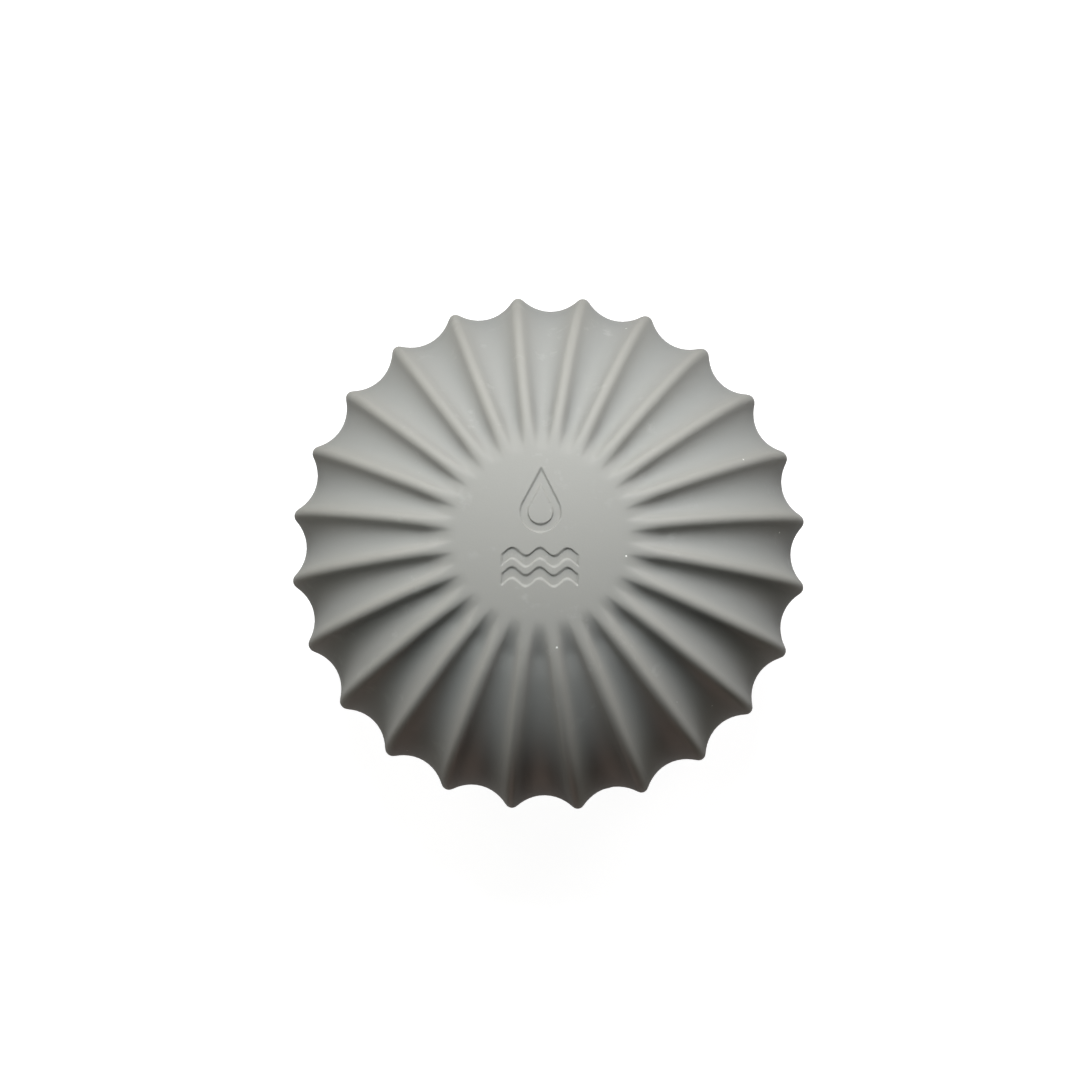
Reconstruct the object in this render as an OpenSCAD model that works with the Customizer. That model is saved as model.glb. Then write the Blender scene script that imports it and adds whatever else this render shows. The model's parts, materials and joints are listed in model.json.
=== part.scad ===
// Cordless mini washer: a fluted ball whose upper half is a rotating agitator.
// It stands in a basin on four suction cups. A geared motor in the sealed lower
// half turns the agitator, which stirs the water and the laundry round it.
// Origin: centre of the plane of the suction-cup rims. +Z is up through the pole,
// the controls face -Y and the charging port faces +Y. Millimetres.

/* [Ball] */
// Radius of the ball over the rib crests, at its widest
ball_r = 60; // [58:1:62]
// Height of the crest ellipse above the widest point
crown_h = 51; // [50:0.5:53]
// Number of ribs round the ball
rib_count = 24; // [16:2:28]
// Depth of the valleys between the ribs, at the widest point
rib_depth = 3.5; // [2:0.25:4]
// Radius of the smooth pad at the pole
pad_r = 19; // [18:1:21]
// Rise of the pad's dome
pad_rise = 2.4; // [1.6:0.2:2.8]
// Wall of the soft skin under the valleys
skin_t = 2.5; // [2:0.25:3]

/* [Mark] */
// Depth of the mark sunk in the pad
mark_depth = 0.5; // [0.3:0.1:0.8]

/* [Gears] */
// Gear module
gear_m = 0.8; // [0.8]
// Teeth of the sun gear on the motor shaft
sun_teeth = 12; // [12]
// Teeth of each planet gear
planet_teeth = 30; // [30]
// Width of the gear teeth
gear_w = 7; // [5:0.5:7]

/* [Motion] */
// Angle that the agitator is turned to, in degrees
agitator_angle = 0; // [0:5:360]
// Travel of the power button
button_press = 0; // [0:0.2:1.2]
// Distance that the charging plug is pulled out
plug_pull = 0; // [0:1:10]

/* [Hidden] */
$fn = 64;

// Heights of the ball's own features
equator_z = 46;
keel_h = 64;
boot_bottom_z = 12;
boot_top_z = 31.8;
skirt_z = 33;
dome_r = 22;
pad_top_z = crest_z(dome_r) + pad_rise - 0.55;
mark_reach = 9;
mark_line = 1.7;
drop_y = 5.2;
drop_r = 4.4;
drop_tip = 9.6;
wave_w = 8;
wave_swing = 0.85;
wave_pitch = 6;
wave_heights = [-4.6, -8.8];

// Skin, core and lower shell walls, inwards from the crests
core_t = 2.7;
core_r = ball_r - rib_depth - skin_t;
core_crown = crown_h - skin_t - 0.4 * rib_depth;
core_top_z = 89.2 + crown_h - 51;
core_lip_z = skirt_z + 1.2;
shell_t = 2.4;
shell_r = ball_r - rib_depth - skin_t + 0.4;
land_depth = 1.6;

// Seam and flute grid
rib_pitch = 360 / rib_count;
rib_steps = [-0.5, -0.44, -0.3, -0.15, 0, 0.15, 0.3, 0.44];
valley_roundness = 1.36;
crown_softness = 0.35;
pole_lift = 0.0001;
front = -90;
rear = 90;

// Tower, base plate and feet
neck_r = 46.5;
neck_t = 2.5;
neck_top_z = 40;
flange_t = 2.5;
tower_r = 39;
tower_bore_r = 36;
tower_shoulder_z = 62;
tower_top_z = 70;
boss_r = 11;
boss_top_z = 81;
plate_z = boot_bottom_z;
plate_t = 2.5;
plate_r = 43.9;
base_screw_ring = 38;
cup_ring = 34;
cup_r = 14;
cup_stud_r = 3;
tower_screw_ring = 41;
o_ring_r = 0.6;
seal_ring = neck_r - 1;

// Drive
pressure_angle = 25;
ring_teeth = sun_teeth + 2 * planet_teeth;
planet_ring = gear_m * (sun_teeth + planet_teeth) / 2;
carrier_ratio = 1 + ring_teeth / sun_teeth;
planet_ratio = -ring_teeth / planet_teeth;
backlash = 0.12;
gear_z = 54.5;
carrier_z = 62.5;
carrier_t = 3;
motor_r = 12.2;
motor_top_z = 50.5;
motor_plate_top_z = 53;
motor_shaft_r = 1;
pin_r = 1.5;
running_gap = 0.04;
output_r = 3;
output_top_z = 86.5;
bearing_r = 6.5;
bearing_w = 5;
lower_bearing_z = 67;
upper_bearing_z = 73.5;
seal_z = upper_bearing_z + bearing_w;
hub_z = 82.2;
plate_screw_ring = 33;

// Power, controls and charging
cell_r = 9.2;
cell_l = 50;
cell_y = 22;
cell_z = 24.6;
board_z = 36;
board_t = 1.6;
panel_z = 22;
button_x = -3;
button_r = 5;
lights_x = 7.5;
port_z = 23;

// Crest line of the ball
function crest_z(r) = equator_z + crown_h * sqrt(1 - pow(r / ball_r, 2));
function side_r(a, z) = a * sqrt(1 - pow((equator_z - z) / keel_h, 2));

// Smooth step from 0 at a to 1 at b
function ramp(x, a, b) = let (t = min(1, max(0, (x - a) / (b - a)))) t * t * (3 - 2 * t);

// Rib section: 0 on the crest, 1 in the valley, one wide concave arc between
function flute(u) = let (q = valley_roundness, edge = sqrt(q * q - 1))
    (sqrt(q * q - 4 * u * u) - edge) / (q - edge);

// Top of the ball: the pad's shallow dome runs into the crest ellipse
function pad_z(r) = pad_top_z - pad_rise * pow(r / dome_r, 2);
function crown_z(r) = let (a = pad_z(r), b = crest_z(r), k = crown_softness)
    b - a > 4 ? a : a - b > 4 ? b : pad_top_z - k * ln(exp((pad_top_z - a) / k) + exp((pad_top_z - b) / k));

// Rings of the agitator from the pole down: [radius, height]
agitator_rings = concat(
    [for (r = [5, 10, 14, pad_r - 2, pad_r, pad_r + 2, pad_r + 4, pad_r + 7, pad_r + 11]) [r, crown_z(r)]],
    [for (a = [36, 44, 52, 60, 68, 76, 83, 90]) [ball_r * sin(a), equator_z + crown_h * cos(a)]],
    [for (z = [39.5, skirt_z]) [side_r(ball_r, z), z]]
);

// Rings of the boot from its bottom edge up
boot_rings = [for (z = [boot_bottom_z, 13.5, 16, 19, 22.5, 26, 29.5, boot_top_z]) [side_r(ball_r, z), z]];

// Depth of the flutes at a ring: they fade out at the pad and at the boot's bottom edge
function depth_at(r) = rib_depth * sqrt(r / ball_r);
function crown_depth(ring) =
    depth_at(ring[0]) * (ring[1] < equator_z ? 1 : ramp(ring[0], pad_r - 0.5, pad_r + 6.5));
function boot_depth(ring) = depth_at(ring[0]) * ramp(ring[1], boot_bottom_z + 1, boot_bottom_z + 9);

// 1 on the smooth lands round the control panel and the port, 0 on the flutes
function turn_between(a, b) = abs((a - b + 540) % 360 - 180);
function land(angle) =
    max(1 - ramp(turn_between(angle, front), 15.5, 21.5), 1 - ramp(turn_between(angle, rear), 11, 17));

// Slope of the surface's own normal at a ring, from level
function crown_slope(ring) =
    ring[1] < equator_z ? 0 : atan2((ring[1] - equator_z) * ball_r * ball_r, ring[0] * crown_h * crown_h);

// Points of one ring, each sunk by the flute along the surface's own slope
function ring_points(ring, depth, slope, lands) = [
    for (i = [0 : rib_count - 1], u = rib_steps)
        let (
            angle = (i + u) * rib_pitch,
            flat = lands ? land(angle) : 0,
            sink = depth * flute(u) * (1 - flat) + min(land_depth, depth) * flat,
            r = ring[0] - sink * cos(slope)
        )
        [r * cos(angle), r * sin(angle), ring[1] - sink * sin(slope)]
];

// Closed solid from rings of equal length, listed from the top down
module ringed_solid(rings) {
    n = len(rings[0]);
    m = len(rings);
    top = m * n;
    polyhedron(
        points = concat(
            [for (r = rings) each r],
            [[0, 0, rings[0][0][2] + pole_lift], [0, 0, rings[m - 1][0][2]]]
        ),
        faces = concat(
            [for (i = [0 : n - 1]) [top, (i + 1) % n, i]],
            [for (j = [0 : m - 2], i = [0 : n - 1]) [j * n + i, j * n + (i + 1) % n, (j + 1) * n + i]],
            [for (j = [0 : m - 2], i = [0 : n - 1])
                [j * n + (i + 1) % n, (j + 1) * n + (i + 1) % n, (j + 1) * n + i]],
            [for (i = [0 : n - 1]) [top + 1, (m - 1) * n + i, (m - 1) * n + (i + 1) % n]]
        )
    );
}

// Side profile of the lower half between two heights, as points
function side_points(a, z0, z1, steps) =
    [for (i = [0 : steps]) let (z = z0 + (z1 - z0) * i / steps) [side_r(a, z), z]];

// Profile of the upper half from the equator to a flat top, as points
function dome_points(a, b, flat_z) = let (last = acos((flat_z - equator_z) / b))
    [for (i = [0 : 8]) let (t = 90 + (last - 90) * i / 8) [a * sin(t), equator_z + b * cos(t)]];

module revolve(points) {
    rotate_extrude($fn = 96) polygon(points);
}

module tube(r_out, r_in, z0, z1) {
    translate([0, 0, z0]) difference() {
        cylinder(r = r_out, h = z1 - z0);
        translate([0, 0, -1]) cylinder(r = r_in, h = z1 - z0 + 2);
    }
}

module o_ring(r, z) {
    translate([0, 0, z]) rotate_extrude($fn = 96) translate([r, 0]) circle(r = o_ring_r, $fn = 24);
}

// Screw pointing down: pan head above z, shank below it
module screw(head_r, head_h, shank_r, shank_l) {
    difference() {
        union() {
            cylinder(r = head_r, h = head_h);
            translate([0, 0, -shank_l]) cylinder(r = shank_r, h = shank_l);
        }
        for (a = [0, 90]) rotate(a)
            translate([-head_r * 0.6, -0.35, head_h - 0.7]) cube([head_r * 1.2, 0.7, 1]);
    }
}

// Copies round the Z axis
module around(count, radius, start) {
    for (i = [0 : count - 1]) rotate(start + i * 360 / count) translate([radius, 0, 0]) children();
}

// Rounded bar along Y, centred on x and z
module y_bar(w, h, r, y0, y1) {
    translate([0, y1, 0]) rotate([90, 0, 0]) linear_extrude(y1 - y0) {
        square([w - 2 * r, h], center = true);
        square([w, h - 2 * r], center = true);
        for (x = [-1, 1], z = [-1, 1]) translate([x * (w / 2 - r), z * (h / 2 - r)]) circle(r = r, $fn = 32);
    }
}

// Rod along Y
module y_rod(r, y0, y1) {
    translate([0, y1, 0]) rotate([90, 0, 0]) cylinder(r = r, h = y1 - y0);
}

// Involute gear outline
function involute(base, r) = sqrt(pow(r / base, 2) - 1) * 180 / PI - acos(base / r);
function tooth_flank(pitch_r, half, tip_r, root_r) =
    let (base = pitch_r * cos(pressure_angle), low = max(base * 1.0005, root_r))
    [for (i = [0 : 4]) let (r = low + (tip_r - low) * i / 4)
        [r, half + involute(base, pitch_r) - involute(base, r)]];
module gear_outline(teeth, play, tip_r, root_r) {
    pitch_r = gear_m * teeth / 2;
    half = 90 / teeth - play / pitch_r * 90 / PI;
    flank = tooth_flank(pitch_r, half, tip_r, root_r);
    polygon([for (i = [0 : teeth - 1]) let (mid = i * 360 / teeth) each concat(
        [root_r * [cos(mid - flank[0][1]), sin(mid - flank[0][1])]],
        [for (p = flank) p[0] * [cos(mid - p[1]), sin(mid - p[1])]],
        [for (j = [4 : -1 : 0]) flank[j][0] * [cos(mid + flank[j][1]), sin(mid + flank[j][1])]],
        [root_r * [cos(mid + flank[0][1]), sin(mid + flank[0][1])]]
    )]);
}
module outer_gear(teeth) {
    pitch_r = gear_m * teeth / 2;
    translate([0, 0, gear_z]) linear_extrude(gear_w)
        gear_outline(teeth, backlash, pitch_r + gear_m, pitch_r - 1.25 * gear_m);
}

// Feet
module suction_cup(i) {
    color("silver") rotate(45 + 90 * i) translate([cup_ring, 0, 0]) rotate_extrude($fn = 64) polygon([
        [0, 3], [8, 2.4], [cup_r - 1, 0], [cup_r, 0], [cup_r, 0.8], [9, 5.2], [5, 7.6], [5, plate_z],
        [cup_stud_r, plate_z], [cup_stud_r, plate_z + 1.6], [cup_stud_r + 1, plate_z + 1.6],
        [cup_stud_r + 0.6, plate_z + 3.2], [0, plate_z + 3.2]
    ]);
}

// Base
module base_plate() {
    color("dimgray") difference() {
        translate([0, 0, plate_z]) cylinder(r = plate_r, h = plate_t, $fn = 96);
        translate([0, 0, plate_z + plate_t / 2]) tube(plate_r + 1, plate_r - o_ring_r, -o_ring_r, o_ring_r);
        around(4, cup_ring, 45) {
            translate([0, 0, plate_z - 1]) cylinder(r = cup_stud_r, h = plate_t + 2);
            translate([0, 0, plate_z + 1.6]) cylinder(r = cup_stud_r + 1.2, h = plate_t);
        }
        around(4, base_screw_ring, 0) {
            translate([0, 0, plate_z - 1]) cylinder(r = 1.5, h = plate_t + 2);
            translate([0, 0, plate_z - 1]) cylinder(r = 3, h = 2.6);
        }
    }
}
module base_screws() {
    color("lightgray") around(4, base_screw_ring, 0)
        translate([0, 0, plate_z + 1.6]) rotate([180, 0, 0]) screw(2.8, 1.5, 1.5, 4.5);
}
module base_o_ring() {
    color("black") o_ring(plate_r, plate_z + plate_t / 2);
}
module base_shell_solid() {
    revolve(concat(
        [[0, boot_bottom_z]],
        side_points(shell_r, boot_bottom_z, boot_top_z, 6),
        [[neck_r, boot_top_z], [neck_r, neck_top_z], [0, neck_top_z]]
    ));
}
module base_shell() {
    inner = shell_r - shell_t;
    deck_z = boot_top_z - shell_t;
    neck_in = neck_r - neck_t;
    post_web = side_r(shell_r, plate_z + plate_t) - 0.25 - base_screw_ring;
    color("gray") difference() {
        union() {
            difference() {
                base_shell_solid();
                revolve(concat(
                    [[0, boot_bottom_z - 1], [side_r(inner, boot_bottom_z), boot_bottom_z - 1]],
                    side_points(inner, boot_bottom_z, deck_z, 6),
                    [[neck_in, deck_z], [neck_in, board_z - 2],
                     [neck_in - 2, board_z - 2], [neck_in - 2, board_z],
                     [neck_in, board_z], [neck_in, neck_top_z + 1], [0, neck_top_z + 1]]
                ));
            }
            around(4, base_screw_ring, 0) {
                translate([0, 0, plate_z + plate_t]) cylinder(r = 3.5, h = 4);
                translate([0, -2, plate_z + plate_t]) cube([post_web, 4, 4]);
            }
            around(4, tower_screw_ring, 45)
                translate([0, 0, board_z - 6]) cylinder(r = 3.5, h = neck_top_z - board_z + 5.7);
        }
        around(4, base_screw_ring, 0) translate([0, 0, plate_z]) cylinder(r = 1.5, h = 6.3);
        around(4, tower_screw_ring, 45) translate([0, 0, board_z - 4]) cylinder(r = 1.5, h = 12);
        tube(seal_ring + o_ring_r, seal_ring - o_ring_r, neck_top_z - 2 * o_ring_r, neck_top_z + 1);
        translate([button_x, 0, panel_z]) y_rod(button_r + 0.6, -60, -40);
        for (z = [-3.5, 0, 3.5]) translate([lights_x, 0, panel_z + z]) y_rod(1.1, -60, -40);
        translate([0, 0, port_z]) y_bar(11, 5.2, 1.5, 40, 60);
    }
}
module panel_window(grow) {
    translate([0, 0, panel_z]) y_bar(25.6 + grow, 14.4 + grow, 4, -70, -30);
}
module port_window(grow) {
    translate([0, 0, port_z]) y_bar(15.6 + grow, 8.6 + grow, 3, 30, 70);
}
module base_boot() {
    color("darkgray") difference() {
        ringed_solid([for (i = [len(boot_rings) - 1 : -1 : 0])
            ring_points(boot_rings[i], boot_depth(boot_rings[i]), 0, true)]);
        revolve(concat(
            [[0, boot_bottom_z - 1], [side_r(shell_r, boot_bottom_z), boot_bottom_z - 1]],
            side_points(shell_r, boot_bottom_z, boot_top_z, 6),
            [[side_r(shell_r, boot_top_z), boot_top_z + 1], [0, boot_top_z + 1]]
        ));
        panel_window(0.4);
        port_window(0.4);
    }
}

// Power
module battery_cell(side) {
    color("steelblue") translate([-cell_l / 2, side * cell_y, cell_z]) rotate([0, 90, 0]) {
        cylinder(r = cell_r, h = cell_l - 1);
        cylinder(r = 3, h = cell_l);
    }
}
module battery_tabs() {
    color("lightgray") for (x = [-cell_l / 2 - 0.3, cell_l / 2])
        translate([x, -cell_y - 4, cell_z - 2.5]) cube([0.3, 2 * cell_y + 8, 5]);
}
module battery_cradle() {
    color("dimgray") for (x = [-1, 1]) difference() {
        translate([x * (cell_l / 2 + 1.5) - 1, -29, plate_z + plate_t]) cube([2, 58, 15]);
        translate([x * (cell_l / 2 + 1.5) - 2, -7, plate_z + plate_t + 9]) cube([4, 14, 10]);
        around(4, cup_ring, 45) translate([0, 0, plate_z]) cylinder(r = cup_stud_r + 1.8, h = 3.8);
    }
}
module main_board() {
    color("darkgreen") difference() {
        tube(neck_r - neck_t - 0.5, motor_r + 1.5, board_z, board_z + board_t);
        around(4, tower_screw_ring, 45) translate([0, 0, board_z - 1]) cylinder(r = 4, h = board_t + 2);
    }
}
module board_chips() {
    color("black") {
        around(3, 24, 30) translate([-4, -5, board_z + board_t]) cube([8, 10, 1.6]);
        around(2, 30, 90) translate([0, 0, board_z + board_t]) cylinder(r = 3, h = 2.2);
    }
}

// Controls
module control_board() {
    color("darkgreen") translate([-10, -44.2, panel_z - 3.2]) cube([20, board_t, 10]);
}
module button_switch() {
    color("black") translate([button_x, -44.2, panel_z]) {
        translate([-3, -2.2, -3]) cube([6, 2.2, 6]);
        y_rod(1.6, -3.4, -2.2);
    }
}
module status_lights() {
    color("white") for (z = [-3.5, 0, 3.5]) intersection() {
        translate([lights_x, 0, panel_z + z]) y_rod(1.1, -60, -44.2);
        panel_body(0.1);
    }
}
// Solid under the surface of the lands, less a recess
module panel_body(recess) {
    revolve(concat(
        [[0, boot_bottom_z]],
        [for (p = side_points(ball_r, boot_bottom_z, boot_top_z, 8))
            [p[0] - land_depth * ramp(p[1], boot_bottom_z, boot_bottom_z + 3) - recess, p[1]]],
        [[0, boot_top_z]]
    ));
}
module control_bezel() {
    color("gray") difference() {
        intersection() {
            panel_body(0.3);
            panel_window(0);
        }
        base_shell_solid();
        translate([button_x, 0, panel_z]) y_rod(button_r + running_gap, -70, -30);
        for (z = [-3.5, 0, 3.5]) translate([lights_x, 0, panel_z + z]) y_rod(1.1, -70, -30);
    }
}
module power_button() {
    color("darkgray") translate([button_x, button_press, panel_z]) {
        y_rod(button_r, -53.6, -51.2);
        y_rod(button_r - 0.8, -53.9, -53.6);
        y_rod(2, -51.2, -49);
    }
}

// Charging
module charge_board() {
    color("darkgreen") translate([-8, 35, port_z - 3.2]) cube([16, 11, 1.4]);
}
module charge_socket() {
    color("silver") translate([0, 0, port_z]) difference() {
        y_bar(9, 3.4, 1.6, 42, 49);
        y_bar(8.2, 2.6, 1.25, 43, 50);
    }
    color("black") translate([-3, 43, port_z - 0.35]) cube([6, 3, 0.7]);
}
module port_plug() {
    color("darkgray") translate([0, plug_pull, 0]) {
        difference() {
            intersection() {
                panel_body(0.2);
                port_window(-0.4);
            }
            base_shell_solid();
            translate([0, 56.6, port_z - 3]) rotate([0, 90, 0]) cylinder(r = 2.6, h = 6, center = true);
        }
        translate([0, 0, port_z]) y_bar(7.4, 1.8, 0.8, 47.4, 52);
    }
}

// Motor
module motor_can() {
    color("silver") difference() {
        union() {
            translate([0, 0, 21.5]) cylinder(r = motor_r, h = motor_top_z - 21.5);
            translate([0, 0, motor_top_z]) cylinder(r = 3.5, h = 1.6);
        }
        translate([0, 0, 21]) cylinder(r = motor_r - 0.8, h = 27.7);
        translate([0, 0, 40]) cylinder(r = motor_shaft_r + running_gap, h = 14);
        around(2, 8, 0) translate([0, 0, 45]) cylinder(r = 1.25, h = 10);
    }
}
module motor_end_cap() {
    color("white") tube(motor_r, motor_shaft_r + running_gap, 19, 21.5);
}
module motor_magnets() {
    color("dimgray") difference() {
        tube(motor_r - 0.8, motor_r - 2.4, 26, 46);
        translate([-3.5, -20, 20]) cube([7, 40, 30]);
    }
}
module rotor_turn() {
    rotate(agitator_angle * carrier_ratio) children();
}
module motor_armature() {
    color("peru") rotor_turn() difference() {
        union() {
            translate([0, 0, 27]) cylinder(r = motor_r - 3, h = 18);
            translate([0, 0, 23]) cylinder(r = 3, h = 4);
        }
        translate([0, 0, 20]) cylinder(r = motor_shaft_r, h = 30);
        around(3, motor_r - 3, 0) translate([-3, -0.8, 26]) cube([6, 1.6, 20]);
    }
}
module motor_shaft() {
    color("lightgray") rotor_turn() translate([0, 0, 18]) cylinder(r = motor_shaft_r, h = 43.5);
}
module sun_gear() {
    color("gold") rotor_turn() difference() {
        outer_gear(sun_teeth);
        translate([0, 0, gear_z - 1]) cylinder(r = motor_shaft_r, h = gear_w + 2);
    }
}
module motor_plate() {
    color("silver") difference() {
        tube(tower_bore_r, 3.5, motor_top_z, motor_plate_top_z);
        around(2, 8, 0) {
            translate([0, 0, 50]) cylinder(r = 1.25, h = 4);
            translate([0, 0, motor_plate_top_z - 1.5]) cylinder(r = 2.3, h = 3);
        }
        around(4, plate_screw_ring, 45) translate([0, 0, 50]) cylinder(r = 1.25, h = 4);
    }
}
module motor_screws() {
    color("dimgray") around(2, 8, 0) translate([0, 0, motor_plate_top_z - 1.5]) screw(2.3, 1.5, 1.25, 3.5);
}
module plate_screws() {
    color("dimgray") around(4, plate_screw_ring, 45)
        translate([0, 0, motor_top_z]) rotate([180, 0, 0]) screw(2.4, 1.6, 1.25, 15);
}

// Gear train: the ring gear is fixed, the carrier turns the agitator
module ring_gear() {
    pitch_r = gear_m * ring_teeth / 2;
    color("ivory") difference() {
        tube(tower_bore_r, pitch_r - gear_m - 1, motor_plate_top_z, tower_shoulder_z);
        translate([0, 0, motor_plate_top_z - 1]) linear_extrude(tower_shoulder_z - motor_plate_top_z + 2)
            rotate(180 / ring_teeth)
                gear_outline(ring_teeth, -backlash, pitch_r + 1.25 * gear_m, pitch_r - 0.9 * gear_m);
        around(4, plate_screw_ring, 45) translate([0, 0, 50]) cylinder(r = 1.25, h = 14);
    }
}
module planet_gear(i) {
    color("ivory") rotate(agitator_angle + i * 120) translate([planet_ring, 0, 0])
        rotate(180 / planet_teeth + agitator_angle * planet_ratio) difference() {
            outer_gear(planet_teeth);
            translate([0, 0, gear_z - 1]) cylinder(r = pin_r + running_gap, h = gear_w + 2);
            around(5, 7, 0) translate([0, 0, gear_z - 1]) cylinder(r = 1.8, h = gear_w + 2);
        }
}
module planet_pins() {
    color("lightgray") rotate(agitator_angle) around(3, planet_ring, 0) {
        translate([0, 0, gear_z - 1]) cylinder(r = 2.4, h = 0.7);
        translate([0, 0, gear_z - 0.5]) cylinder(r = pin_r, h = carrier_z + carrier_t - gear_z + 0.5);
    }
}
module planet_carrier() {
    color("silver") rotate(agitator_angle) difference() {
        translate([0, 0, carrier_z]) cylinder(r = 22, h = carrier_t);
        translate([0, 0, carrier_z - 1]) cylinder(r = output_r, h = carrier_t + 2);
        around(3, planet_ring, 0) translate([0, 0, carrier_z - 1]) cylinder(r = pin_r, h = carrier_t + 2);
        around(3, 14.5, 60) translate([0, 0, carrier_z - 1]) cylinder(r = 4, h = carrier_t + 2);
    }
}
module output_shaft() {
    color("lightgray") rotate(agitator_angle) difference() {
        translate([0, 0, carrier_z]) cylinder(r = output_r, h = output_top_z - carrier_z);
        translate([0, 0, output_top_z - 8]) cylinder(r = 1.5, h = 9);
        translate([output_r - 0.6, -5, hub_z]) cube([5, 10, 10]);
    }
}

// Bearings and seal
module bearing(z) {
    color("silver") difference() {
        tube(bearing_r, output_r + running_gap, z, z + bearing_w);
        for (e = [z - 1, z + bearing_w - 0.4]) tube(bearing_r - 1.1, output_r + 1.1, e, e + 1.4);
    }
}
module lower_bearing() {
    bearing(lower_bearing_z);
}
module upper_bearing() {
    bearing(upper_bearing_z);
}
module shaft_seal() {
    color("black") tube(7.5, output_r + running_gap, seal_z, boss_top_z);
}

// Tower
module tower_cap() {
    color("lightgray") difference() {
        union() {
            revolve([
                [0, neck_top_z], [neck_r, neck_top_z], [neck_r, neck_top_z + flange_t],
                [tower_r + 1, neck_top_z + flange_t],
                [tower_r, neck_top_z + flange_t + 1], [tower_r, tower_shoulder_z],
                [tower_r - 1.5, tower_shoulder_z + 4], [tower_r - 5, tower_top_z - 1],
                [tower_r - 8, tower_top_z], [boss_r, tower_top_z], [boss_r, boss_top_z - 1],
                [boss_r - 1, boss_top_z], [0, boss_top_z]
            ]);
            around(6, 0, 0) translate([0, -1, tower_top_z - 1]) intersection() {
                cube([29, 2, 8]);
                translate([boss_r, 0, 0]) rotate([-90, 0, 0]) cylinder(r = 18, h = 10, center = true);
            }
        }
        translate([0, 0, neck_top_z - 1]) cylinder(r = tower_bore_r, h = tower_shoulder_z - neck_top_z + 1);
        translate([0, 0, tower_shoulder_z - 1]) cylinder(r = 25, h = lower_bearing_z - tower_shoulder_z + 1);
        translate([0, 0, lower_bearing_z - 1]) cylinder(r = bearing_r, h = bearing_w + 1);
        translate([0, 0, lower_bearing_z]) cylinder(r = bearing_r - 1, h = 20);
        translate([0, 0, upper_bearing_z]) cylinder(r = bearing_r, h = 20);
        translate([0, 0, seal_z]) cylinder(r = 7.5, h = 20);
        around(4, tower_screw_ring, 45) translate([0, 0, neck_top_z - 1]) cylinder(r = 1.5, h = 5);
        around(4, tower_screw_ring, 45) translate([0, 0, neck_top_z + flange_t]) cylinder(r = 3, h = 6);
        around(4, plate_screw_ring, 45) translate([0, 0, 60]) cylinder(r = 1.25, h = 5.5);
    }
}
module tower_o_ring() {
    color("black") o_ring(seal_ring, neck_top_z - o_ring_r);
}
module tower_screws() {
    color("lightgray") around(4, tower_screw_ring, 45)
        translate([0, 0, neck_top_z + flange_t]) screw(2.8, 1.8, 1.5, 9);
}

// Agitator
module core_solid() {
    revolve(concat(
        [[0, core_lip_z]],
        side_points(core_r, core_lip_z, equator_z, 2),
        [for (p = dome_points(core_r, core_crown, core_top_z)) if (p[1] > equator_z) p],
        [[0, core_top_z]]
    ));
}
module core_hollow() {
    revolve(concat(
        [[0, core_lip_z - 1], [side_r(core_r - core_t, core_lip_z), core_lip_z - 1]],
        side_points(core_r - core_t, core_lip_z, equator_z, 2),
        [for (p = dome_points(core_r - core_t, core_crown - core_t, core_top_z - core_t))
            if (p[1] > equator_z) p],
        [[0, core_top_z - core_t]]
    ));
}
module agitator_core() {
    color("whitesmoke") rotate(agitator_angle) difference() {
        union() {
            difference() {
                core_solid();
                core_hollow();
            }
            intersection() {
                core_solid();
                union() {
                    translate([0, 0, hub_z]) cylinder(r = 9, h = 7);
                    around(8, 0, 0) translate([0, -1, hub_z + 0.4]) cube([40, 2, 7]);
                }
            }
        }
        difference() {
            translate([0, 0, hub_z - 1]) cylinder(r = output_r, h = output_top_z - hub_z + 1);
            translate([output_r - 0.6, -5, hub_z]) cube([5, 10, 10]);
        }
        translate([0, 0, hub_z]) cylinder(r = 1.5, h = 10);
        translate([0, 0, output_top_z + 0.7]) cylinder(r = 4.5, h = 10);
    }
}
module hub_washer() {
    color("lightgray") rotate(agitator_angle) tube(4.2, 1.5, output_top_z + 0.7, output_top_z + 1.2);
}
module hub_screw() {
    color("lightgray") rotate(agitator_angle) translate([0, 0, output_top_z + 1.2]) screw(2.8, 1.5, 1.5, 7);
}

// The mark: a water drop over two waves
module drop(r, tip) {
    touch = asin(r / tip);
    circle(r = r);
    polygon([[-r * cos(touch), r * sin(touch)], [0, tip], [r * cos(touch), r * sin(touch)]]);
}
module wave_band() {
    half = mark_line / 2;
    crests = [for (x = [-wave_w : 0.8 : wave_w]) [x, wave_swing * cos(360 * x / wave_pitch)]];
    polygon(concat(
        [for (p = crests) [p[0], p[1] - half]],
        [for (i = [len(crests) - 1 : -1 : 0]) [crests[i][0], crests[i][1] + half]]
    ));
}
module mark_outline() {
    translate([0, drop_y]) difference() {
        drop(drop_r, drop_tip);
        drop(drop_r - mark_line, drop_tip - mark_line * drop_tip / drop_r);
    }
    for (y = wave_heights) translate([0, y]) wave_band();
}
module agitator_skin() {
    color("darkgray") rotate(agitator_angle) difference() {
        ringed_solid([for (ring = agitator_rings)
            ring_points(ring, crown_depth(ring), crown_slope(ring), false)]);
        core_solid();
        translate([0, 0, skirt_z - 1]) cylinder(r = side_r(core_r - core_t, core_lip_z), h = 3, $fn = 96);
        translate([0, 0, pad_z(mark_reach) - mark_depth]) linear_extrude(4) mark_outline();
    }
}

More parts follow.
